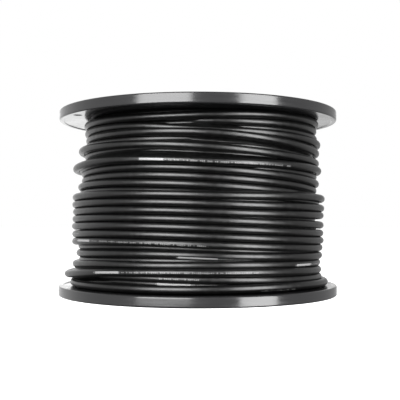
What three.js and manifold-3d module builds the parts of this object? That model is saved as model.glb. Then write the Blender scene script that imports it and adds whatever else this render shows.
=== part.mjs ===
// Network cable spool: two moulded plastic flanges on a barrel, wound full of round black cable.
// It stands on its lower flange. Millimetres, +Z up, origin on the spool's axis at floor level.
import * as THREE from "three";
import { mergeVertices } from "three/addons/utils/BufferGeometryUtils.js";
import Module from "manifold-3d";

const wasm = await Module();
wasm.setup();

// Driving dimensions of the flanges
const flangeDiameter = 267;
const overallHeight = 174;
const rimHeight = 8.8;
const rimWall = 4.5;
const rimRounding = 1.4;
const webThickness = 3;
const hubDiameter = 58;
const boreDiameter = 41.3;
const ribCount = 8;
const ribThickness = 2.6;
const ribDrop = 1.2;
const stiffenerWall = 2.4;

// Driving dimensions of the barrel and of the spigot that centres it on each flange
const barrelDiameter = 88.9;
const barrelWall = 3;
const spigotWall = 2.8;
const spigotLength = 12;

// Driving dimensions of the cable and of how it lies
const cableDiameter = 6.8;
const shoulderShare = 0.6;
const leastTurnSpacing = 0.6;

// The hole in each flange that the cable's outer end is threaded through, close inside the rim
const cableHoleClearance = 1.2;
const cableHoleMargin = 2;
const topHoleAngle = THREE.MathUtils.degToRad(208.6);
const bottomHoleAngle = THREE.MathUtils.degToRad(67.5);

// Each turn of the cable that shows, from the top down: the height of its centre above the floor and
// its distance from the axis, each at the left, front and right. They were chosen for a spool of the
// placed sizes and stretch with this one. The last turn's end lies at the back, clear of the hole
const placedHeight = 174;
const placedDiameter = 267;
const turnAngles = [-70, 0, 70, 180, 290];
const endRadius = 112;
const turns = [
  [[160.9, 161.5, 161.5], [99, 101.5, 98]],
  [[159.4, 158.1, 160.4], [105.7, 108.5, 111.5]],
  [[156, 153.7, 153.9], [99, 101.5, 111]],
  [[152, 149.9, 148.9], [98, 106, 106.5]],
  [[153.5, 147.4, 144], [105.7, 99, 114.4]],
  [[147.2, 144.5, 135.5], [105.7, 110.5, 112.7]],
  [[140.9, 139.3, 133], [106.5, 104, 100]],
  [[137.1, 132.4, 127.1], [112, 112, 112.7]],
  [[130.9, 133.7, 130.5], [108.2, 104.5, 103]],
  [[124.5, 126.6, 123], [109.5, 106, 101]],
  [[119.4, 119.5, 119.3], [116.5, 115.5, 114.7]],
  [[115.5, 115.3, 111.5], [106, 106, 110.1]],
  [[113.5, 113.9, 107.3], [112.7, 112, 112.1]],
  [[109.3, 107.4, 100.5], [110.7, 111.3, 111.2]],
  [[104, 100.7, 94.8], [110.7, 111, 110.5]],
  [[96.7, 95.6, 88.5], [110.8, 110.8, 109.5]],
  [[92.7, 92, 92.2], [116.1, 117.2, 117.9]],
  [[86.4, 84.6, 82.9], [116.9, 117.3, 118.1]],
  [[79.8, 78, 75.6], [116.9, 117.3, 118.2]],
  [[73.1, 71.4, 67.3], [117.2, 117.4, 118.2]],
  [[66.4, 64.6, 59.4], [117.5, 117.4, 117.5]],
  [[58.6, 57.8, 52.4], [117.4, 117.4, 117.5]],
  [[52.6, 50.6, 45.6], [116.9, 117.2, 116.7]],
  [[46.2, 46.5, 41.6], [111.7, 112, 111]],
  [[41.4, 41.7, 37.9], [111.6, 115, 116.8]],
  [[34.3, 37.1, 34.5], [111.6, 113, 110.5]],
  [[31.1, 33.4, 31.1], [117.1, 117, 115]],
  [[25.1, 27.8, 25.4], [124.5, 118.5, 115.1]],
  [[21.4, 21.7, 19.1], [118.5, 117, 117.1]],
  [[17.4, 17, 15.8], [114, 114.5, 111.5]],
  [[13.6, 13.6, 13.7], [118.7, 118.5, 122.9]],
];

// Clearance between pieces that touch
const seatGap = 0.3;

// How finely round shapes are divided
const flangeSides = 48;
const barrelSides = 32;
const windingSides = 36;
const holeSides = 16;

// Places worked out from the sizes above
const flangeRadius = flangeDiameter / 2;
const stiffenerRadius = (hubDiameter / 2 + flangeRadius - rimWall) / 2;
const cableHoleDiameter = cableDiameter + cableHoleClearance;
const cableHoleRadius = flangeRadius - rimWall - cableHoleMargin - cableHoleDiameter / 2;
const barrelInnerRadius = barrelDiameter / 2 - barrelWall;
const spigotRadius = barrelInnerRadius - seatGap;
const seatLow = rimHeight + seatGap;
const seatHigh = overallHeight - rimHeight - seatGap;
const windingBoreRadius = barrelDiameter / 2 + seatGap;

function material(colour, roughness) {
  return new THREE.MeshStandardMaterial({ color: colour, roughness, metalness: 0 });
}

// A closed mesh's geometry as a solid that can be joined and cut
function solid(geometry) {
  const bare = geometry.index ? geometry.toNonIndexed() : geometry.clone();
  for (const name of Object.keys(bare.attributes)) {
    if (name !== "position") bare.deleteAttribute(name);
  }
  const merged = mergeVertices(bare, 1e-4);
  return new wasm.Manifold(
    new wasm.Mesh({
      numProp: 3,
      vertProperties: new Float32Array(merged.attributes.position.array),
      triVerts: new Uint32Array(merged.index.array),
    }),
  );
}

function geometryOf(body) {
  const mesh = body.getMesh();
  return new THREE.BufferGeometry()
    .setAttribute("position", new THREE.BufferAttribute(new Float32Array(mesh.vertProperties), 3))
    .setIndex(new THREE.BufferAttribute(new Uint32Array(mesh.triVerts), 1));
}

// A turned ring: its section is a closed list of [radius, height], and it turns about +Z
function turned(section, sides) {
  const points = [...section, section[0]].map(([r, z]) => new THREE.Vector2(r, z));
  return new THREE.LatheGeometry(points, sides).rotateX(Math.PI / 2);
}

// A quarter of a round edge in the section plane, turning on 90 degrees from the angle given
function roundEdge(centreRadius, centreHeight, radius, from) {
  return [0, 30, 60, 90].map((step) => {
    const angle = THREE.MathUtils.degToRad(from + step);
    return [centreRadius + radius * Math.cos(angle), centreHeight + radius * Math.sin(angle)];
  });
}

// The flange as it lies with its inner face up, at height 0: the web, the rim and the hub hang
// below that face and the barrel's spigot stands on it
function flangeDisc() {
  const section = [
    [boreDiameter / 2, -rimHeight],
    [hubDiameter / 2, -rimHeight],
    [hubDiameter / 2, -webThickness],
    [stiffenerRadius - stiffenerWall / 2, -webThickness],
    [stiffenerRadius - stiffenerWall / 2, ribDrop - rimHeight],
    [stiffenerRadius + stiffenerWall / 2, ribDrop - rimHeight],
    [stiffenerRadius + stiffenerWall / 2, -webThickness],
    [flangeRadius - rimWall, -webThickness],
    [flangeRadius - rimWall, -rimHeight],
    ...roundEdge(flangeRadius - rimRounding, rimRounding - rimHeight, rimRounding, -90),
    ...roundEdge(flangeRadius - rimRounding, -rimRounding, rimRounding, 0),
    [spigotRadius, 0],
    [spigotRadius, spigotLength],
    [spigotRadius - spigotWall, spigotLength],
    [spigotRadius - spigotWall, 0],
    [boreDiameter / 2, 0],
  ];
  return solid(turned(section, flangeSides));
}

// One straight rib on the flange's outer face, from the hub out to the rim
function rib(angle) {
  const from = (hubDiameter + boreDiameter) / 4;
  const to = flangeRadius - rimWall / 2;
  const low = ribDrop - rimHeight;
  const high = -webThickness / 2;
  const bar = new THREE.BoxGeometry(to - from, ribThickness, high - low);
  return solid(bar.translate((from + to) / 2, 0, (low + high) / 2).rotateZ(angle));
}

function cableHole(angle) {
  const x = cableHoleRadius * Math.cos(angle);
  const y = cableHoleRadius * Math.sin(angle);
  const bore = new THREE.CylinderGeometry(
    cableHoleDiameter / 2,
    cableHoleDiameter / 2,
    3 * rimHeight,
    holeSides,
  );
  return solid(bore.rotateX(Math.PI / 2).translate(x, y, 0));
}

function flangeGeometry(holeAngle) {
  let body = flangeDisc();
  for (let i = 0; i < ribCount; i += 1) {
    body = body.add(rib((i * 2 * Math.PI) / ribCount));
  }
  return geometryOf(body.subtract(cableHole(holeAngle)));
}

function bottomFlange() {
  const mesh = new THREE.Mesh(flangeGeometry(bottomHoleAngle), material(0x101011, 0.25));
  mesh.name = "bottom_flange";
  mesh.position.z = rimHeight;
  return mesh;
}

// The same moulding as the lower flange, turned over
function topFlange() {
  const mesh = new THREE.Mesh(flangeGeometry(-topHoleAngle), material(0x101011, 0.25));
  mesh.name = "top_flange";
  mesh.rotation.x = Math.PI;
  mesh.position.z = overallHeight - rimHeight;
  return mesh;
}

function barrel() {
  const section = [
    [barrelInnerRadius, seatLow],
    [barrelDiameter / 2, seatLow],
    [barrelDiameter / 2, seatHigh],
    [barrelInnerRadius, seatHigh],
  ];
  const mesh = new THREE.Mesh(turned(section, barrelSides), material(0x141415, 0.35));
  mesh.name = "barrel";
  return mesh;
}

// A value part of the way round, joined straight from station to station
function atAngle(values, angle) {
  const next = turnAngles.findIndex((station) => station > angle);
  const share = (angle - turnAngles[next - 1]) / (turnAngles[next] - turnAngles[next - 1]);
  return values[next - 1] + share * (values[next] - values[next - 1]);
}

// Where each turn crosses the half plane at this angle, from the bottom up, as centres
function turnsAt(angle) {
  const tall = overallHeight / placedHeight;
  const wide = flangeDiameter / placedDiameter;
  const centres = turns.map(([heights, radii], i) => {
    const next = turns[i + 1];
    const behind = next ? (radii[2] + next[1][0]) / 2 : endRadius;
    const level = (heights[0] + heights[2]) / 2;
    const height = atAngle([...heights, level, heights[0]], angle);
    const radius = atAngle([...radii, behind, radii[0]], angle);
    return { radius: radius * wide, height: height * tall };
  });
  centres.sort((a, b) => a.height - b.height);
  let low = seatLow + cableDiameter / 2;
  for (const centre of centres) {
    centre.height = Math.max(centre.height, low);
    low = centre.height + leastTurnSpacing;
  }
  let high = seatHigh - cableDiameter / 2;
  for (const centre of centres.toReversed()) {
    centre.height = Math.min(centre.height, high);
    high = centre.height - leastTurnSpacing;
  }
  return centres;
}

// The winding's section at one angle: a round crest on each turn and a groove between each two,
// closed along the barrel
function windingSection(angle) {
  const half = cableDiameter / 2;
  const centres = turnsAt(angle);
  const section = [[windingBoreRadius, seatLow]];
  centres.forEach(({ radius, height }, i) => {
    const below = i > 0 ? centres[i - 1] : { radius, height: 2 * seatLow - height };
    const above = centres[i + 1] ?? { radius, height: 2 * seatHigh - height };
    const down = Math.min(shoulderShare * half, (height - below.height) * 0.4);
    const up = Math.min(shoulderShare * half, (above.height - height) * 0.4);
    section.push([(below.radius + radius) / 2, (below.height + height) / 2]);
    section.push([radius + Math.sqrt(half * half - down * down), height - down]);
    section.push([radius + half, height]);
    section.push([radius + Math.sqrt(half * half - up * up), height + up]);
  });
  section.push([centres.at(-1).radius, seatHigh], [windingBoreRadius, seatHigh]);
  return section;
}

// The wound cable as one ring-shaped solid whose section changes with the angle
function cableWinding() {
  const points = [];
  const faces = [];
  const count = windingSection(0).length;
  for (let i = 0; i < windingSides; i += 1) {
    const angle = turnAngles[0] + (i * 360) / windingSides;
    const direction = THREE.MathUtils.degToRad(angle - 90);
    for (const [radius, height] of windingSection(angle)) {
      points.push(radius * Math.cos(direction), radius * Math.sin(direction), height);
    }
    for (let j = 0; j < count; j += 1) {
      const here = i * count + j;
      const up = i * count + ((j + 1) % count);
      const round = ((i + 1) % windingSides) * count + j;
      const both = ((i + 1) % windingSides) * count + ((j + 1) % count);
      faces.push(here, round, both, here, both, up);
    }
  }
  const geometry = new THREE.BufferGeometry()
    .setAttribute("position", new THREE.Float32BufferAttribute(points, 3))
    .setIndex(faces);
  const mesh = new THREE.Mesh(geometry, material(0x0c0c0d, 0.4));
  mesh.name = "cable_winding";
  return mesh;
}

const spool = new THREE.Group();
spool.add(bottomFlange(), topFlange(), barrel(), cableWinding());

export default spool;
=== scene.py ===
"""A network cable spool: two glossy moulded flanges, the barrel and every turn of the cable."""

import math

import bmesh
import bpy
import numpy as np
from mathutils import Matrix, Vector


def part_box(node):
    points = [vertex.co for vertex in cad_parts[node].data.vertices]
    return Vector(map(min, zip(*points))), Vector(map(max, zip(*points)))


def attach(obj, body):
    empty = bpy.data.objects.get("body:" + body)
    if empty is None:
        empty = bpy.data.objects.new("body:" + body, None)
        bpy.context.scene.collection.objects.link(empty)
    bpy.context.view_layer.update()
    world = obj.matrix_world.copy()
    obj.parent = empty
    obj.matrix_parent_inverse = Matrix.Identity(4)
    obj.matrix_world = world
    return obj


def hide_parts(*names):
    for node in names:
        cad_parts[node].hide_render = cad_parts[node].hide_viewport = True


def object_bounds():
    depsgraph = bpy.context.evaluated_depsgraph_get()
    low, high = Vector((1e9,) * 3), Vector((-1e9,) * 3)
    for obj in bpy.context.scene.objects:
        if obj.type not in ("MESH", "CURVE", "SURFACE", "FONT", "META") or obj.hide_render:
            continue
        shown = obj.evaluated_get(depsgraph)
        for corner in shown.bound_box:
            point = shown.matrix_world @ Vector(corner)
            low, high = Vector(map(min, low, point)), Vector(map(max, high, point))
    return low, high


bl_info = {
    "name": "Network cable spool",
    "version": (1, 0, 0),
    "blender": (4, 5, 0),
    "location": "3D View > Sidebar > Spool",
    "description": "Smooth flanges, a barrel, the wound cable turn by turn, and a plain studio",
    "category": "Add Mesh",
}

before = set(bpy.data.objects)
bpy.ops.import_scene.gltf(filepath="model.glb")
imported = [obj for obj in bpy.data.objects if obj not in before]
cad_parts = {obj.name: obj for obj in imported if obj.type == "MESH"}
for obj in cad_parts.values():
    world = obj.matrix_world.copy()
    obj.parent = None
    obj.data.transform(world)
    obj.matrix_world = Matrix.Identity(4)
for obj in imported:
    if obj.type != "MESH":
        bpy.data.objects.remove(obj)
CAD_LOW, CAD_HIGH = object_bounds()
MM = 0.001

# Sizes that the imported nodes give
BARREL_LOW, BARREL_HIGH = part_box("barrel")
WINDING_LOW, WINDING_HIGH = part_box("cable_winding")
FLANGE_RADIUS = CAD_HIGH.x
OVERALL_HEIGHT = CAD_HIGH.z

# Where the cable holes of the two flanges are, in degrees from +X
BOTTOM_HOLE_ANGLE = 67.5
TOP_HOLE_ANGLE = 208.6

# How finely round shapes are divided
FLANGE_SIDES = 288
BARREL_SIDES = 160
HOLE_SIDES = 48
CABLE_SIDES = 16
STEPS_PER_TURN = 198
DEEP_LEVELS = 120

# How often the cable's path is evened, and how turns that overlap are pressed apart
HEIGHT_EVENING = 10
RADIUS_EVENING = 14
SETTLING_ROUNDS = 70
PUSH_OUT = 0.4
PUSH_UP = 0.2

# Where each turn of the cable is placed round the front of the spool, in degrees from the camera's
# side, positive to the right. The first list is for heights, the second for distances from the axis
HEIGHT_STATIONS = (-78, -45, -20, 0, 22, 50, 78)
RADIUS_STATIONS = (-78, -25, 0, 25, 78)

# Each turn from the top down: its centre's heights above the floor at the height stations and its
# distances from the axis at the radius stations, in millimetres. Round the back each turn runs on
# evenly to the start of the next
TURNS = {
    "top_corner": ((161.5, 161.5, 161.5, 161.5, 161.5, 161.5, 161.5), (99, 102.5, 104, 98, 104)),
    "a": ((159.6, 157.8, 157.6, 158.1, 161, 161.5, 161.4), (105, 108, 108.5, 109.5, 113.8)),
    "b_first": ((156, 154.5, 153.3, 153.7, 153.8, 155.8, 154.9), (98, 99.5, 101, 107, 113.1)),
    "b_second": ((152, 151.5, 150.8, 149.9, 150.2, 150.5, 149), (98, 98, 104, 100, 113.4)),
    "b": ((153.2, 152.7, 150.4, 147.4, 146.5, 144, 142), (104.8, 107.5, 101.5, 109.5, 116.1)),
    "c": ((144.6, 146.2, 146, 144.5, 142.3, 136, 133), (104.2, 108.5, 110.5, 114.5, 114.2)),
    "d": ((140.4, 140.5, 139.7, 139.3, 137.2, 134, 131.5), (105.5, 107.5, 104, 98, 99)),
    "e": ((136.1, 135.9, 134.9, 132.4, 129.7, 125.7, 124), (111, 112, 112, 111.5, 114.3)),
    "f": ((130.4, 131.6, 132, 133.7, 133.6, 131.5, 129), (105.5, 106, 104.5, 107, 103)),
    "g": ((124.5, 125.3, 126.2, 127.4, 126, 123.7, 121), (106.5, 108, 104, 99, 99)),
    "h": ((117.8, 123.2, 121.8, 118.3, 118.4, 118.8, 117), (117.7, 116, 115.5, 115, 116.5)),
    "i_first": ((114, 115.5, 115.5, 115.3, 114.8, 113.1, 110), (104, 105.5, 106, 108.5, 112.4)),
    "i": ((112.5, 115.3, 115.2, 113.3, 110.9, 108.2, 104), (106.5, 111.5, 112, 112, 113)),
    "j": ((108.6, 109.8, 107.9, 106.8, 104.4, 101.4, 97), (108.4, 111, 111.3, 111.4, 111.2)),
    "k": ((102.4, 103.5, 102.1, 100.3, 98.2, 95.6, 92.5), (110.7, 111, 111, 110.8, 110.5)),
    "k_second": ((96, 97.8, 96.6, 95.2, 92.6, 89.1, 86.4), (110.8, 111, 110.8, 110, 114)),
    "l": ((91.3, 92.3, 91.7, 91.1, 90.5, 92, 90.8), (117.3, 117.2, 117.2, 117.4, 118.8)),
    "m": ((85, 86, 85.1, 83.9, 82.6, 82.6, 81.9), (117.2, 117, 117.3, 117.5, 118.3)),
    "n": ((77.8, 79.5, 78.6, 77.5, 76.2, 75.7, 75.5), (116.8, 117.3, 117.3, 117.5, 118)),
    "o": ((71.5, 73, 72.3, 71.1, 69.1, 67.4, 65.8), (117.1, 117.3, 117.4, 117.6, 117.9)),
    "p": ((65.1, 67, 66.2, 64.6, 62, 60, 57.8), (117.5, 117.5, 117.4, 117.5, 117.7)),
    "q": ((57, 60, 59.6, 57.8, 55.2, 52.6, 51.6), (117.4, 117.4, 117.4, 117.5, 117.8)),
    "r": ((50, 53.9, 53.8, 51, 49.6, 46.6, 45.1), (117.5, 117.2, 117.2, 117.1, 117)),
    "r_second": ((44.8, 47.8, 48.4, 46.5, 44.5, 42.6, 41.6), (111.7, 111.9, 112, 111.8, 111)),
    "s": ((39.6, 41.8, 42.8, 41.5, 39.9, 38.1, 37.7), (112.5, 114.2, 115, 115.5, 116.6)),
    "t": ((33.6, 36.8, 37.3, 37.1, 36.1, 35, 34.5), (111.2, 112.2, 113, 110.5, 109)),
    "u": ((28.6, 33.9, 32.4, 32.5, 32.6, 31.5, 31.1), (117.2, 117, 117, 116.5, 113.4)),
    "v": ((18.4, 26.8, 26.2, 27.8, 28, 26, 24.6), (125.2, 120, 118.5, 117.7, 115.2)),
    "w": ((21, 23.2, 22.6, 22.4, 21.5, 20.3, 17.8), (112, 116.8, 117, 117, 116)),
    "x": ((14.5, 19.3, 19.5, 17, 16.5, 16.1, 12.6), (108.5, 114, 114.5, 113, 109.5)),
    "y": ((12.6, 13.4, 13.6, 13.6, 14.5, 15.2, 12.2), (119.4, 118.5, 118.5, 119.6, 121.8)),
}

# Pale generic marks along the jacket: the turn, where a solid bar starts and ends, where the run of
# short ticks behind it ends, and how far round the cable from its outermost line the marks lie at
# the start and at the end. Degrees
MARKS = (
    ("h", -25, -13, 43, 4, -24),
    ("q", -81, -81, -62, 2, 0),
    ("r", -64, -52, 5, 14, -20),
    ("s", -9, 8, 22, -38, -58),
    ("u", 47, 59, 74, -12, -6),
    ("v", -44.5, -32.5, 24, 8, -4),
    ("w", -16, -16, 1, 0, 0),
    ("x", -17, -3, 22, 2, 0),
    ("y", 24, 24, 42, -50, -50),
)


class SpoolFlangeSettings(bpy.types.PropertyGroup):
    """Sizes and colour of the two flanges, which are one moulding used twice."""

    rim_height: bpy.props.FloatProperty(
        name="Rim height", description="Height of the rim at the flange's edge",
        default=8.8 * MM, unit="LENGTH")
    rim_wall: bpy.props.FloatProperty(
        name="Rim wall", description="Thickness of the rim", default=4.5 * MM, unit="LENGTH")
    rim_rounding: bpy.props.FloatProperty(
        name="Rim rounding", description="Radius of the rim's outer edges",
        default=1.4 * MM, unit="LENGTH")
    lip_height: bpy.props.FloatProperty(
        name="Lip height", description="Height of the low lip round the inner face",
        default=0.6 * MM, unit="LENGTH")
    web: bpy.props.FloatProperty(
        name="Web", description="Thickness of the flat disc", default=3 * MM, unit="LENGTH")
    hub_diameter: bpy.props.FloatProperty(
        name="Hub", description="Outer diameter of the hub ring", default=58 * MM, unit="LENGTH")
    bore_diameter: bpy.props.FloatProperty(
        name="Bore", description="Diameter of the hole for the arbor",
        default=41.3 * MM, unit="LENGTH")
    rib_count: bpy.props.IntProperty(
        name="Ribs", description="Number of straight ribs on the outer face", default=8)
    rib_thickness: bpy.props.FloatProperty(
        name="Rib thickness", description="Thickness of a rib", default=2.6 * MM, unit="LENGTH")
    rib_drop: bpy.props.FloatProperty(
        name="Rib drop", description="How far the ribs stand below the rim's edge",
        default=1.2 * MM, unit="LENGTH")
    stiffener_wall: bpy.props.FloatProperty(
        name="Stiffener", description="Thickness of the ring between hub and rim",
        default=2.4 * MM, unit="LENGTH")
    spigot_wall: bpy.props.FloatProperty(
        name="Spigot wall", description="Thickness of the ring that centres the barrel",
        default=2.8 * MM, unit="LENGTH")
    spigot_gap: bpy.props.FloatProperty(
        name="Spigot gap", description="Clearance between spigot and barrel",
        default=0.3 * MM, unit="LENGTH")
    hole_diameter: bpy.props.FloatProperty(
        name="Cable hole", description="Hole that the cable's outer end is threaded through",
        default=8 * MM, unit="LENGTH")
    hole_margin: bpy.props.FloatProperty(
        name="Hole margin", description="Web left between the cable hole and the rim",
        default=2 * MM, unit="LENGTH")
    colour: bpy.props.FloatVectorProperty(
        name="Colour", description="Colour of the moulded plastic", subtype="COLOR",
        size=4, min=0, max=1, default=(0.013, 0.013, 0.0135, 1))


class SpoolBarrelSettings(bpy.types.PropertyGroup):
    """Sizes of the hidden barrel."""

    wall: bpy.props.FloatProperty(
        name="Wall", description="Thickness of the barrel's wall", default=3 * MM, unit="LENGTH")
    edge: bpy.props.FloatProperty(
        name="Edge", description="Radius of the barrel's edges", default=0.4 * MM, unit="LENGTH")
    colour: bpy.props.FloatVectorProperty(
        name="Colour", description="Colour of the barrel's plastic", subtype="COLOR",
        size=4, min=0, max=1, default=(0.024, 0.024, 0.025, 1))


class SpoolCableSettings(bpy.types.PropertyGroup):
    """Size and colours of the wound cable."""

    diameter: bpy.props.FloatProperty(
        name="Diameter", description="Outer diameter of the cable", default=6.8 * MM,
        unit="LENGTH")
    jacket: bpy.props.FloatVectorProperty(
        name="Jacket", description="Colour of the jacket", subtype="COLOR",
        size=4, min=0, max=1, default=(0.0005, 0.0005, 0.0005, 1))
    ink: bpy.props.FloatVectorProperty(
        name="Ink", description="Colour of the marks", subtype="COLOR",
        size=4, min=0, max=1, default=(0.18, 0.18, 0.18, 1))


class SpoolStageSettings(bpy.types.PropertyGroup):
    """Camera and lights."""

    camera_distance: bpy.props.FloatProperty(
        name="Camera distance", description="From the spool's axis to the camera",
        default=0.7334, unit="LENGTH")
    camera_height: bpy.props.FloatProperty(
        name="Camera height", description="Camera above the floor", default=0.0702,
        unit="LENGTH")
    camera_shift: bpy.props.FloatProperty(
        name="Camera shift", description="Camera to the right of the axis", default=0.0022,
        unit="LENGTH")
    camera_pitch: bpy.props.FloatProperty(
        name="Camera pitch", description="How far the camera looks up",
        default=math.radians(1.575), subtype="ANGLE")
    camera_roll: bpy.props.FloatProperty(
        name="Camera roll", description="How far the camera leans", default=math.radians(0.05),
        subtype="ANGLE")
    lens_mm: bpy.props.FloatProperty(
        name="Lens", description="Focal length in millimetres", default=67.6)
    light_distance: bpy.props.FloatProperty(
        name="Light distance", description="From the spool's axis to each soft light",
        default=1.3, unit="LENGTH")


def build_mesh(name, points, quads, caps=()):
    """A mesh from an array of points, an array of quads and a few many-sided caps."""
    mesh = bpy.data.meshes.new(name)
    loops = np.concatenate([quads.ravel(), *[np.asarray(c) for c in caps]]).astype(np.int32)
    totals = np.concatenate([np.full(len(quads), 4), [len(c) for c in caps]]).astype(np.int32)
    starts = np.concatenate([[0], np.cumsum(totals)[:-1]]).astype(np.int32)
    mesh.vertices.add(len(points))
    mesh.vertices.foreach_set("co", points.astype(np.float32).ravel())
    mesh.loops.add(len(loops))
    mesh.loops.foreach_set("vertex_index", loops)
    mesh.polygons.add(len(totals))
    mesh.polygons.foreach_set("loop_start", starts)
    mesh.update(calc_edges=True)
    mesh.validate()
    mesh.shade_smooth()
    return mesh


def grid_quads(rows, columns, close_rows):
    """Quads between neighbours of a grid stored row by row, with its columns joined in a ring."""
    i = np.arange(rows if close_rows else rows - 1)[:, None]
    j = np.arange(columns)[None, :]
    right = (j + 1) % columns
    below = (i + 1) % rows
    corners = [i * columns + j, i * columns + right, below * columns + right, below * columns + j]
    return np.stack([np.broadcast_to(c, (len(i), columns)) for c in corners], -1).reshape(-1, 4)


def show(mesh, material, body="root"):
    """Links a new object for the mesh at the origin and lets it ride on the body."""
    made = bpy.data.objects.new(mesh.name, mesh)
    bpy.context.scene.collection.objects.link(made)
    mesh.materials.append(material)
    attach(made, body)
    return made


def rounded_section(corners, steps=5, support=0.3 * MM):
    """A closed section in the plane of radius and height with round corners.

    Each corner is (radius, height, rounding). A corner becomes an arc that touches both of its
    sides, at distance rounding * tan(half the turn) from the corner, with one more point a little
    before and after it, so that the flats beside it stay flat in the shading.
    """
    corners = np.array(corners, float)
    points = []
    for here, before, after in zip(corners, np.roll(corners, 1, 0), np.roll(corners, -1, 0)):
        centre, rounding = here[:2], here[2]
        back = before[:2] - centre
        ahead = after[:2] - centre
        back /= np.linalg.norm(back)
        ahead /= np.linalg.norm(ahead)
        if rounding == 0:
            points.append(centre)
            continue
        half = math.acos(np.clip(back @ ahead, -1, 1)) / 2
        reach = rounding / math.tan(half)
        middle = (back + ahead) / np.linalg.norm(back + ahead)
        hub = centre + middle * rounding / math.sin(half)
        start = centre + back * reach - hub
        end = centre + ahead * reach - hub
        share = np.linspace(0, 1, steps + 1)[:, None]
        turn = math.pi - 2 * half
        arc = (np.sin((1 - share) * turn) * start + np.sin(share * turn) * end) / math.sin(turn)
        points.append(centre + back * (reach + support))
        points.extend(hub + arc)
        points.append(centre + ahead * (reach + support))
    return np.array(points)


def turned(name, section, sides):
    """A closed section turned about the axis: (r cos t, r sin t, z) for t once round."""
    angle = np.linspace(0, 2 * math.pi, sides, endpoint=False)[None, :]
    radius = section[:, :1]
    height = np.broadcast_to(section[:, 1:], (len(section), sides))
    points = np.stack([radius * np.cos(angle), radius * np.sin(angle), height], -1)
    return build_mesh(name, points.reshape(-1, 3), grid_quads(len(section), sides, True))


def bar(section, start, end, angle):
    """A closed section, across and up, carried in a straight line away from the axis.

    Returns its points: each of the two ends is one ring of the section, at distances start and
    end from the axis, and the whole is turned by the angle.
    """
    across, up = section[:, 0], section[:, 1]
    rings = [np.stack([np.full(len(section), far), across, up], -1) for far in (start, end)]
    points = np.concatenate(rings)
    turn = np.array(Matrix.Rotation(angle, 3, "Z"))
    return points @ turn.T


def faces_outwards(mesh):
    """Turns every face of a closed mesh outwards."""
    work = bmesh.new()
    work.from_mesh(mesh)
    bmesh.ops.recalc_face_normals(work, faces=work.faces)
    work.to_mesh(mesh)
    work.free()
    return mesh


def combined(target, tool, operation):
    """The target mesh joined with or cut by the tool mesh."""
    objects = [bpy.data.objects.new(m.name, m) for m in (target, tool)]
    for one in objects:
        bpy.context.scene.collection.objects.link(one)
    boolean = objects[0].modifiers.new("combine", "BOOLEAN")
    boolean.operation = operation
    boolean.solver = "EXACT"
    boolean.object = objects[1]
    graph = bpy.context.evaluated_depsgraph_get()
    made = bpy.data.meshes.new_from_object(objects[0].evaluated_get(graph))
    for one in objects:
        bpy.data.objects.remove(one)
    return made


# Materials


def new_material(name):
    """A node material, its shader, and the two functions that add nodes to it and link them."""
    material = bpy.data.materials.new(name)
    material.use_nodes = True
    nodes = material.node_tree.nodes
    shader = nodes["Principled BSDF"]
    return material, shader, nodes.new, material.node_tree.links.new


def moulded_plastic(name, colour, roughness):
    """Glossy moulded plastic: faint flow ripples, fine dust and light scuffs in the gloss."""
    material, shader, add, link = new_material(name)
    shader.inputs["Base Color"].default_value = colour
    shader.inputs["IOR"].default_value = 1.5
    place = add("ShaderNodeTexCoord")

    def stretched(across, upward):
        node = add("ShaderNodeMapping")
        node.inputs["Scale"].default_value = (across, across, upward)
        link(place.outputs["Object"], node.inputs["Vector"])
        return node.outputs["Vector"]

    ripple = add("ShaderNodeTexNoise")
    ripple.inputs["Scale"].default_value = 1
    ripple.inputs["Detail"].default_value = 2
    link(stretched(60, 12), ripple.inputs["Vector"])
    scuff = add("ShaderNodeTexNoise")
    scuff.inputs["Scale"].default_value = 1
    scuff.inputs["Detail"].default_value = 3
    link(stretched(40, 700), scuff.inputs["Vector"])
    gloss = add("ShaderNodeMapRange")
    gloss.inputs["From Min"].default_value = 0.35
    gloss.inputs["From Max"].default_value = 0.75
    gloss.inputs["To Min"].default_value = roughness
    gloss.inputs["To Max"].default_value = roughness + 0.1
    link(scuff.outputs["Fac"], gloss.inputs["Value"])
    link(gloss.outputs["Result"], shader.inputs["Roughness"])
    wave = add("ShaderNodeBump")
    wave.inputs["Strength"].default_value = 0.25
    wave.inputs["Distance"].default_value = 0.3 * MM
    link(ripple.outputs["Fac"], wave.inputs["Height"])
    grain = add("ShaderNodeBump")
    grain.inputs["Strength"].default_value = 0.1
    grain.inputs["Distance"].default_value = 0.02 * MM
    link(scuff.outputs["Fac"], grain.inputs["Height"])
    link(wave.outputs["Normal"], grain.inputs["Normal"])
    link(grain.outputs["Normal"], shader.inputs["Normal"])
    return material


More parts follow.
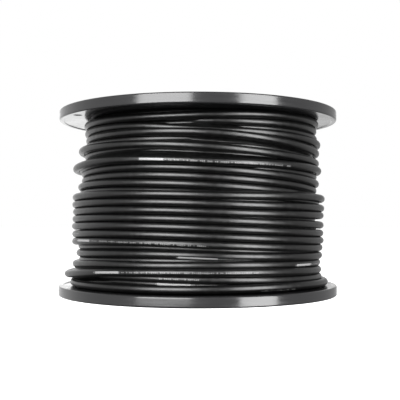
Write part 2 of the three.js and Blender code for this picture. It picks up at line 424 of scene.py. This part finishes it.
def jacket_material(name, colour, ink):
    """Semi-gloss extruded jacket with pale marks.

    The UV map runs along the cable and round it, in metres, with the line of marks at 0. The
    attribute mark is 2 where a solid bar is, 1 where short ticks are and 0 elsewhere.
    """
    material, shader, add, link = new_material(name)
    shader.inputs["IOR"].default_value = 1.5

    def maths(operation, first, second=None):
        node = add("ShaderNodeMath")
        node.operation = operation
        for socket, value in zip(node.inputs, (first, second)):
            if isinstance(value, (int, float)):
                socket.default_value = value
            elif value is not None:
                link(value, socket)
        return node.outputs["Value"]

    chart = add("ShaderNodeUVMap")
    chart.uv_map = "along_and_round"
    parts = add("ShaderNodeSeparateXYZ")
    link(chart.outputs["UV"], parts.inputs["Vector"])
    along, around = parts.outputs["X"], parts.outputs["Y"]
    mark = add("ShaderNodeAttribute")
    mark.attribute_name = "mark"
    is_bar = maths("GREATER_THAN", mark.outputs["Fac"], 1.5)
    is_tick = maths("GREATER_THAN", mark.outputs["Fac"], 0.5)
    off_line = maths("ABSOLUTE", around)
    bar_reach = 0.95 * MM
    tick_pitch = 1.5 * MM
    tick_share, left_out_share = 0.62, 0.22
    tick_reach, least_reach = 0.6 * MM, 0.35
    tick_strength = 0.55
    bar_mask = maths("MULTIPLY", is_bar, maths("LESS_THAN", off_line, bar_reach))
    cell = maths("FLOOR", maths("DIVIDE", along, tick_pitch))
    chance = add("ShaderNodeTexWhiteNoise")
    chance.noise_dimensions = "1D"
    link(cell, chance.inputs["W"])
    within = maths("FRACT", maths("DIVIDE", along, tick_pitch))
    tick = maths("MULTIPLY", maths("LESS_THAN", within, tick_share),
                 maths("GREATER_THAN", chance.outputs["Value"], left_out_share))
    reach = maths("MULTIPLY", maths("ADD", chance.outputs["Value"], least_reach), tick_reach)
    tick = maths("MULTIPLY", tick, maths("LESS_THAN", off_line, reach))
    tick_mask = maths("MULTIPLY", is_tick, tick)
    inked = maths("MAXIMUM", bar_mask, maths("MULTIPLY", tick_mask, tick_strength))
    paint = add("ShaderNodeMix")
    paint.data_type = "RGBA"
    link(inked, paint.inputs["Factor"])
    paint.inputs["A"].default_value = colour
    paint.inputs["B"].default_value = ink
    link(paint.outputs["Result"], shader.inputs["Base Color"])

    place = add("ShaderNodeTexCoord")
    drag = add("ShaderNodeTexNoise")
    drag.inputs["Scale"].default_value = 260
    drag.inputs["Detail"].default_value = 3
    link(place.outputs["Object"], drag.inputs["Vector"])
    gloss = add("ShaderNodeMapRange")
    gloss.inputs["From Min"].default_value = 0.3
    gloss.inputs["From Max"].default_value = 0.7
    gloss.inputs["To Min"].default_value = 0.29
    gloss.inputs["To Max"].default_value = 0.4
    link(drag.outputs["Fac"], gloss.inputs["Value"])
    link(gloss.outputs["Result"], shader.inputs["Roughness"])
    skin = add("ShaderNodeBump")
    skin.inputs["Strength"].default_value = 0.15
    skin.inputs["Distance"].default_value = 0.06 * MM
    link(drag.outputs["Fac"], skin.inputs["Height"])
    link(skin.outputs["Normal"], shader.inputs["Normal"])
    return material


# The flanges and the barrel


def flange_mesh(name, cfg, barrel_wall, hole_angle):
    """One flange with its inner face up at height 0: a turned disc, straight ribs and a hole."""
    bore = cfg.bore_diameter / 2
    hub = cfg.hub_diameter / 2
    rim = FLANGE_RADIUS - cfg.rim_wall
    ring = (hub + rim) / 2
    spigot = BARREL_HIGH.x - barrel_wall - cfg.spigot_gap
    spigot_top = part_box("bottom_flange")[1].z - cfg.rim_height
    low, web, rib_low = -cfg.rim_height, -cfg.web, cfg.rib_drop - cfg.rim_height
    soft, fine = 0.6 * MM, 0.4 * MM
    section = rounded_section([
        (bore, low, soft),
        (hub, low, soft),
        (hub, web, soft),
        (ring - cfg.stiffener_wall / 2, web, soft),
        (ring - cfg.stiffener_wall / 2, rib_low, fine),
        (ring + cfg.stiffener_wall / 2, rib_low, fine),
        (ring + cfg.stiffener_wall / 2, web, soft),
        (rim, web, soft),
        (rim, low, soft),
        (FLANGE_RADIUS, low, cfg.rim_rounding),
        (FLANGE_RADIUS, cfg.lip_height, cfg.rim_rounding),
        (rim, cfg.lip_height, fine / 2),
        (rim - cfg.lip_height, 0, fine / 2),
        (spigot, 0, fine),
        (spigot, spigot_top, soft),
        (spigot - cfg.spigot_wall, spigot_top, soft),
        (spigot - cfg.spigot_wall, 0, fine),
        (bore, 0, soft),
    ])
    disc = turned(name, section, FLANGE_SIDES)

    half = cfg.rib_thickness / 2
    rib = rounded_section([(-half, rib_low, fine), (half, rib_low, fine),
                           (half, web / 2, 0), (-half, web / 2, 0)], 3, 0.1 * MM)
    count = len(rib)
    angles = np.arange(cfg.rib_count) * 2 * math.pi / cfg.rib_count
    points = [bar(rib, (bore + hub) / 2, FLANGE_RADIUS - cfg.rim_wall / 2, a) for a in angles]
    quads = [grid_quads(2, count, False) + i * 2 * count for i in range(cfg.rib_count)]
    starts = np.arange(2 * cfg.rib_count) * count
    caps = [start + np.arange(count) for start in starts]
    ribs = build_mesh("ribs", np.concatenate(points), np.concatenate(quads), caps)
    body = combined(disc, faces_outwards(ribs), "UNION")

    hole_radius = cfg.hole_diameter / 2
    out = rim - cfg.hole_margin - hole_radius
    sides = HOLE_SIDES
    round_hole = np.linspace(0, 2 * math.pi, sides, endpoint=False)
    across = out * math.cos(hole_angle) + hole_radius * np.cos(round_hole)
    along = out * math.sin(hole_angle) + hole_radius * np.sin(round_hole)
    rings = [np.stack([across, along, np.full(sides, z)], -1) for z in (2 * low, -low)]
    caps = [np.arange(sides), np.arange(sides, 2 * sides)]
    drill = build_mesh("drill", np.concatenate(rings), grid_quads(2, sides, False), caps)
    return combined(body, faces_outwards(drill), "DIFFERENCE")


def finish_flange(mesh, name, placed):
    """Puts a flange mesh in its place and marks its sharp edges."""
    mesh.transform(placed)
    mesh.name = name
    mesh.shade_smooth()
    mesh.set_sharp_from_angle(angle=math.radians(40))
    return mesh


class SPOOL_OT_flanges(bpy.types.Operator):
    """Makes the two flanges from one moulding, the upper one turned over"""

    bl_idname = "spool.flanges"
    bl_label = "Flanges"

    def execute(self, context):
        cfg = context.scene.spool_flange
        wall = context.scene.spool_barrel.wall
        material = moulded_plastic("flange_plastic", cfg.colour, roughness=0.13)
        lower = Matrix.Translation((0, 0, cfg.rim_height))
        upper = (Matrix.Translation((0, 0, OVERALL_HEIGHT - cfg.rim_height))
                 @ Matrix.Rotation(math.pi, 4, "X"))
        places = (("bottom_flange", lower, BOTTOM_HOLE_ANGLE), ("top_flange", upper, -TOP_HOLE_ANGLE))
        for node, placed, hole in places:
            mesh = flange_mesh(node, cfg, wall, math.radians(hole))
            made = show(finish_flange(mesh, node + "_moulding", placed), material)
            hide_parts(node)
        return {"FINISHED"}


class SPOOL_OT_barrel(bpy.types.Operator):
    """Makes the tube between the flanges"""

    bl_idname = "spool.barrel"
    bl_label = "Barrel"

    def execute(self, context):
        cfg = context.scene.spool_barrel
        outer = BARREL_HIGH.x
        inner = outer - cfg.wall
        low, high = BARREL_LOW.z, BARREL_HIGH.z
        section = rounded_section([(inner, low, cfg.edge), (outer, low, cfg.edge),
                                   (outer, high, cfg.edge), (inner, high, cfg.edge)])
        material = moulded_plastic("barrel_plastic", cfg.colour, roughness=0.35)
        made = show(turned("barrel_tube", section, BARREL_SIDES), material)
        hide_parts("barrel")
        return {"FINISHED"}


# The cable


def evened(values, rounds):
    """Each value along the path moved towards its neighbours, (1 4 6 4 1) / 16, so many times."""
    weights = np.array([1, 4, 6, 4, 1]) / 16
    for _ in range(rounds):
        values = np.convolve(np.pad(values, 2, mode="edge"), weights, mode="valid")
    return values


def along_stations(stations, rows, angles):
    """Row values at the stations, joined straight along the whole path and sampled once a step."""
    turns = np.arange(len(rows))[:, None] * 360
    marks = (turns + np.array(stations)[None, :]).ravel()
    wanted = (turns + np.degrees(angles)[None, :]).ravel()
    return np.interp(wanted, marks, np.array(rows, float).ravel()) * MM


def settled(radius, height, diameter, low, high):
    """Presses overlapping turns apart.

    At each angle every two turns whose centres are nearer than one diameter move apart, along the
    line between them, by part of what is missing. The path is then evened along its length, and
    all of it is repeated.
    """
    itself = np.eye(len(radius), dtype=bool)[:, :, None]
    for _ in range(SETTLING_ROUNDS):
        out = radius[:, None, :] - radius[None, :, :]
        up = height[:, None, :] - height[None, :, :]
        apart = np.sqrt(out ** 2 + up ** 2) + itself
        push = np.where(itself, 0, np.maximum(diameter - apart, 0) / apart)
        radius = radius + PUSH_OUT * (push * out).sum(1)
        height = np.clip(height + PUSH_UP * (push * up).sum(1), low, high)
        shape = radius.shape
        radius = evened(radius.ravel(), 1).reshape(shape)
        height = evened(height.ravel(), 1).reshape(shape)
    return radius, height


def swept_circle(centres, outwards, diameter, sides):
    """A round tube: at each centre a ring c + d/2 (cos a * n + sin a * b).

    n is the outward direction made square to the path, b is square to both, and a runs from -180
    to 180 degrees, so that the ring's seam faces the axis.
    """
    forward = np.gradient(centres, axis=0)
    forward /= np.linalg.norm(forward, axis=1, keepdims=True)
    normal = outwards - (outwards * forward).sum(1, keepdims=True) * forward
    normal /= np.linalg.norm(normal, axis=1, keepdims=True)
    upward = np.cross(normal, forward)
    upward *= np.sign(upward[:, 2:])
    turn = np.linspace(-math.pi, math.pi, sides, endpoint=False)
    outward_part = np.cos(turn)[None, :, None] * normal[:, None]
    upward_part = np.sin(turn)[None, :, None] * upward[:, None]
    return centres[:, None] + (outward_part + upward_part) * diameter / 2, turn


def cable_path(diameter):
    """The cable's centres in order along its path, with each one's outward direction and angle.

    Heights and distances from the axis run straight from station to station of TURNS and are
    evened along the path. Then the turns that overlap are pressed apart.
    """
    angles = np.radians(np.linspace(-180, 180, STEPS_PER_TURN, endpoint=False))
    rows = list(TURNS.values())
    height = along_stations(HEIGHT_STATIONS, [r[0] for r in rows], angles)
    radius = along_stations(RADIUS_STATIONS, [r[1] for r in rows], angles)
    height = evened(height, HEIGHT_EVENING).reshape(len(rows), -1)
    radius = evened(radius, RADIUS_EVENING).reshape(len(rows), -1)
    low, high = WINDING_LOW.z + diameter / 2, WINDING_HIGH.z - diameter / 2
    radius, height = settled(radius, height, diameter, low, high)

    angle = np.broadcast_to(angles, radius.shape).ravel()
    out = np.stack([np.sin(angle), -np.cos(angle), np.zeros(len(angle))], -1)
    centres = out * radius.ravel()[:, None]
    centres[:, 2] = height.ravel()
    return centres, out, angle


def mark_cable(mesh, centres, angle, turn, diameter):
    """Gives the cable the attribute mark, and a UV map along it and round it in metres.

    Along is the length of the path so far. Round is the angle about the cable from the line of
    marks, times half the diameter. The line's own angle runs straight between the marks' ends.
    """
    names = list(TURNS)
    count, sides = len(centres), len(turn)
    path_degrees = np.repeat(np.arange(len(names)) * 360, STEPS_PER_TURN) + np.degrees(angle)
    mark = np.zeros(count)
    line_at, line_turn = [path_degrees[0]], [0]
    for name, bar_start, bar_end, tick_end, turn_start, turn_end in MARKS:
        base = names.index(name) * 360
        started = path_degrees >= base + bar_start
        mark[started & (path_degrees <= base + tick_end)] = 1
        mark[started & (path_degrees < base + bar_end)] = 2
        line_at += [base + bar_start, base + tick_end]
        line_turn += [turn_start, turn_end]
    line = np.radians(np.interp(path_degrees, line_at, line_turn))
    run = np.concatenate([[0], np.cumsum(np.linalg.norm(np.diff(centres, axis=0), axis=1))])

    store = mesh.attributes.new("mark", "FLOAT", "POINT")
    store.data.foreach_set("value", np.repeat(mark, sides).astype(np.float32))
    vertex = np.zeros(len(mesh.loops), np.int32)
    mesh.loops.foreach_get("vertex_index", vertex)
    row, column = vertex // sides, vertex % sides
    face = np.repeat(np.arange(len(mesh.polygons)), [p.loop_total for p in mesh.polygons])
    side_faces = (count - 1) * sides
    closes = (face < side_faces) & (column == 0)
    has_last_column = np.zeros(len(mesh.polygons), bool)
    np.logical_or.at(has_last_column, face, column == sides - 1)
    around = np.where(closes & has_last_column[face], math.pi, turn[column]) - line[row]
    chart = mesh.uv_layers.new(name="along_and_round")
    places = np.stack([run[row], around * diameter / 2], -1)
    chart.data.foreach_set("uv", places.astype(np.float32).ravel())


def layers_underneath(name, centres, turns):
    """The layers below the outer turns as one closed solid round the barrel.

    At each angle its radius at height h is the largest of (r - sink - slope * |h - z|) over all
    outer turns, whose centres there are at radius r and height z.
    """
    around = centres.reshape(turns, -1, 3)
    radius = np.linalg.norm(around[:, :, :2], axis=2)
    low, high = WINDING_LOW.z, WINDING_HIGH.z
    levels = np.linspace(low, high, DEEP_LEVELS)
    away = np.abs(levels[:, None, None] - around[None, :, :, 2])
    sink, slope = 0.5 * MM, 1
    outer = (radius[None] - sink - slope * away).max(1)
    columns = outer.shape[1]
    barrel_gap = 0.3 * MM
    bore = np.full((1, columns), BARREL_HIGH.x + barrel_gap)
    reach = np.concatenate([bore, outer, bore])
    height = np.concatenate([[low], levels, [high]])[:, None] * np.ones((1, columns))
    ahead = around[0, :, :2] / radius[0][:, None]
    points = np.stack([reach * ahead[:, 0], reach * ahead[:, 1], height], -1)
    quads = grid_quads(len(reach), columns, True)
    return faces_outwards(build_mesh(name, points.reshape(-1, 3), quads))


class SPOOL_OT_cable(bpy.types.Operator):
    """Winds the cable turn by turn, with its marks"""

    bl_idname = "spool.cable"
    bl_label = "Cable"

    def execute(self, context):
        cfg = context.scene.spool_cable
        d = cfg.diameter
        centres, out, angle = cable_path(d)
        rings, turn = swept_circle(centres, out, d, CABLE_SIDES)
        count = len(centres)
        ring = np.arange(CABLE_SIDES)
        caps = [ring[::-1], (count - 1) * CABLE_SIDES + ring]
        quads = grid_quads(count, CABLE_SIDES, False)
        mesh = build_mesh("wound_cable", rings.reshape(-1, 3), quads, caps)
        faces_outwards(mesh)
        mark_cable(mesh, centres, angle, turn, d)

        material = jacket_material("cable_jacket", cfg.jacket, cfg.ink)
        made = show(mesh, material)
        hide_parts("cable_winding")

        deep = show(layers_underneath("deep_turns", centres, len(TURNS)), material)
        return {"FINISHED"}


# The stage


def soft_light(name, azimuth, distance, width, height, centre_height, radiance):
    """A soft rectangular light at an azimuth from the camera's side, facing the spool."""
    data = bpy.data.lights.new(name, "AREA")
    data.shape = "RECTANGLE"
    data.size = width
    data.size_y = height
    data.energy = radiance * math.pi * width * height
    lamp = bpy.data.objects.new(name, data)
    turn = math.radians(azimuth)
    lamp.location = (distance * math.sin(turn), -distance * math.cos(turn), centre_height)
    lamp.rotation_euler = (math.pi / 2, 0, turn)
    bpy.context.scene.collection.objects.link(lamp)


def studio_world():
    """White to the camera. The spool sees a dim room, brighter behind it than before it.

    The room's level is behind(y) * glow(y) * side(x) * above(z) * below(z), where (x, y, z) is the
    direction looked in: brighter backwards, most of all straight behind, brighter on the left, and
    dark towards straight up and, from nearer the level, towards straight down.
    """
    world = bpy.data.worlds.new("studio")
    bpy.context.scene.world = world
    world.use_nodes = True
    nodes, link = world.node_tree.nodes, world.node_tree.links.new
    nodes.clear()
    out = nodes.new("ShaderNodeOutputWorld")
    way = nodes.new("ShaderNodeTexCoord")
    parts = nodes.new("ShaderNodeSeparateXYZ")
    link(way.outputs["Generated"], parts.inputs["Vector"])

    def ramp(source, low, high, at_low, at_high):
        node = nodes.new("ShaderNodeMapRange")
        node.interpolation_type = "SMOOTHSTEP"
        node.inputs["From Min"].default_value = low
        node.inputs["From Max"].default_value = high
        node.inputs["To Min"].default_value = at_low
        node.inputs["To Max"].default_value = at_high
        link(source, node.inputs["Value"])
        return node.outputs["Result"]

    def product(first, second):
        node = nodes.new("ShaderNodeMath")
        node.operation = "MULTIPLY"
        link(first, node.inputs[0])
        link(second, node.inputs[1])
        return node.outputs["Value"]

    behind = ramp(parts.outputs["Y"], -0.2, 0.6, 0.66, 0.88)
    glow = ramp(parts.outputs["Y"], 0.85, 0.98, 1, 1.75)
    side = ramp(parts.outputs["X"], -0.25, 0.25, 1.2, 0.62)
    above = ramp(parts.outputs["Z"], 0.4, 0.95, 1, 0.02)
    below = ramp(parts.outputs["Z"], -0.7, -0.2, 0.01, 1)
    room = nodes.new("ShaderNodeBackground")
    room.inputs["Color"].default_value = (1, 1, 1, 1)
    level = product(product(behind, glow), product(side, product(above, below)))
    link(level, room.inputs["Strength"])
    white = nodes.new("ShaderNodeBackground")
    white.inputs["Color"].default_value = (1, 1, 1, 1)
    rays = nodes.new("ShaderNodeLightPath")
    mix = nodes.new("ShaderNodeMixShader")
    link(rays.outputs["Is Camera Ray"], mix.inputs["Fac"])
    link(room.outputs["Background"], mix.inputs[1])
    link(white.outputs["Background"], mix.inputs[2])
    link(mix.outputs["Shader"], out.inputs["Surface"])


def pale_floor():
    """A wide pale floor that the camera sees and that the spool doesn't reflect."""
    half = 6
    corners = np.array([(-half, -half, 0), (half, -half, 0), (half, half, 0), (-half, half, 0)])
    mesh = build_mesh("floor", corners.astype(float), np.array([[0, 1, 2, 3]]))
    floor = bpy.data.objects.new("floor", mesh)
    bpy.context.scene.collection.objects.link(floor)
    material = bpy.data.materials.new("pale_floor")
    material.use_nodes = True
    shader = material.node_tree.nodes["Principled BSDF"]
    shader.inputs["Base Color"].default_value = (0.8, 0.8, 0.8, 1)
    shader.inputs["Roughness"].default_value = 1
    shader.inputs["Specular IOR Level"].default_value = 0
    shader.inputs["Emission Color"].default_value = (1, 1, 1, 1)
    shader.inputs["Emission Strength"].default_value = 0.93
    mesh.materials.append(material)
    floor.visible_glossy = False
    floor.visible_diffuse = False
    floor.visible_shadow = False


class SPOOL_OT_stage(bpy.types.Operator):
    """Makes the camera, the soft lights and the pale floor"""

    bl_idname = "spool.stage"
    bl_label = "Stage"

    def execute(self, context):
        cfg = context.scene.spool_stage
        data = bpy.data.cameras.new("camera")
        data.lens = cfg.lens_mm
        camera = bpy.data.objects.new("camera", data)
        camera.matrix_world = (
            Matrix.Translation((cfg.camera_shift, -cfg.camera_distance, cfg.camera_height))
            @ Matrix.Rotation(math.pi / 2 + cfg.camera_pitch, 4, "X")
            @ Matrix.Rotation(cfg.camera_roll, 4, "Z"))
        context.scene.collection.objects.link(camera)
        context.scene.camera = camera
        context.scene.view_settings.view_transform = "Standard"
        soft_light("soft_light_left", azimuth=-25, distance=cfg.light_distance, width=0.97,
                   height=1.33, centre_height=0.565, radiance=11.3)
        soft_light("soft_light_right", azimuth=46.5, distance=cfg.light_distance, width=0.7,
                   height=1.5, centre_height=0.25, radiance=12.5)
        studio_world()
        pale_floor()
        return {"FINISHED"}


class SPOOL_PT_panel(bpy.types.Panel):
    """Lists what the spool is made of"""

    bl_label = "Network cable spool"
    bl_idname = "SPOOL_PT_panel"
    bl_space_type = "VIEW_3D"
    bl_region_type = "UI"
    bl_category = "Spool"

    def draw(self, context):
        for operator in OPERATORS:
            self.layout.operator(operator.bl_idname)


SETTINGS = {
    "spool_flange": SpoolFlangeSettings,
    "spool_barrel": SpoolBarrelSettings,
    "spool_cable": SpoolCableSettings,
    "spool_stage": SpoolStageSettings,
}
OPERATORS = (SPOOL_OT_stage, SPOOL_OT_flanges, SPOOL_OT_barrel, SPOOL_OT_cable)


def register():
    """Registers the settings, the operators and the panel."""
    for name, group in SETTINGS.items():
        bpy.utils.register_class(group)
        setattr(bpy.types.Scene, name, bpy.props.PointerProperty(type=group))
    for one in (*OPERATORS, SPOOL_PT_panel):
        bpy.utils.register_class(one)


def unregister():
    """Takes back what register did."""
    for one in (SPOOL_PT_panel, *reversed(OPERATORS)):
        bpy.utils.unregister_class(one)
    for name, group in SETTINGS.items():
        delattr(bpy.types.Scene, name)
        bpy.utils.unregister_class(group)


def main():
    """Builds everything in order."""
    register()
    bpy.ops.spool.stage()
    bpy.ops.spool.flanges()
    bpy.ops.spool.barrel()
    bpy.ops.spool.cable()


if __name__ == "__main__":
    main()
